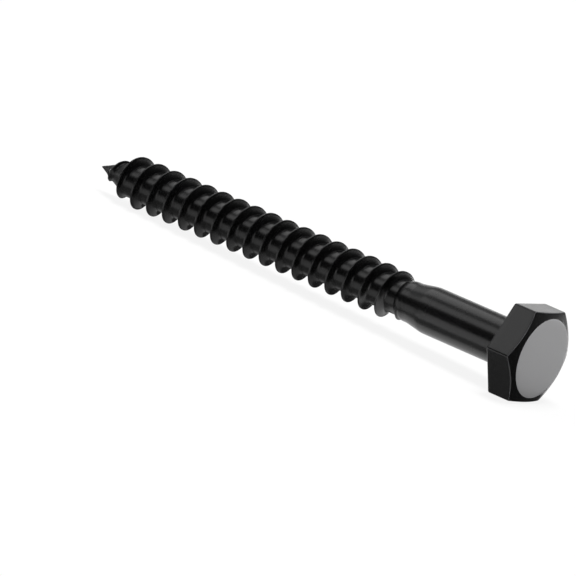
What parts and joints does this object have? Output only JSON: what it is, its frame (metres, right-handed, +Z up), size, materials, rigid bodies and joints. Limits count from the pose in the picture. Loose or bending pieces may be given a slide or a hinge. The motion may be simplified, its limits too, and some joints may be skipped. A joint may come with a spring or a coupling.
{
  "type": "lag screw",
  "caption": "Black steel lag screw with a chamfered hexagon head, a plain shank and a coarse wood thread running to a gimlet point.",
  "frame": {"origin": "centre of the bounding box seen from above, at the level of the ground it lies on", "axes": "+X along the length, from the point to the head; +Z up; the screw lies on a flat of its head and a thread crest near the point"},
  "size_m": [0.068, 0.0128, 0.0112],
  "materials": {
    "black_steel": "satin black coating over steel"
  },
  "bodies": {
    "root": {"lag_screw": "black_steel"}
  },
  "joints": []
}
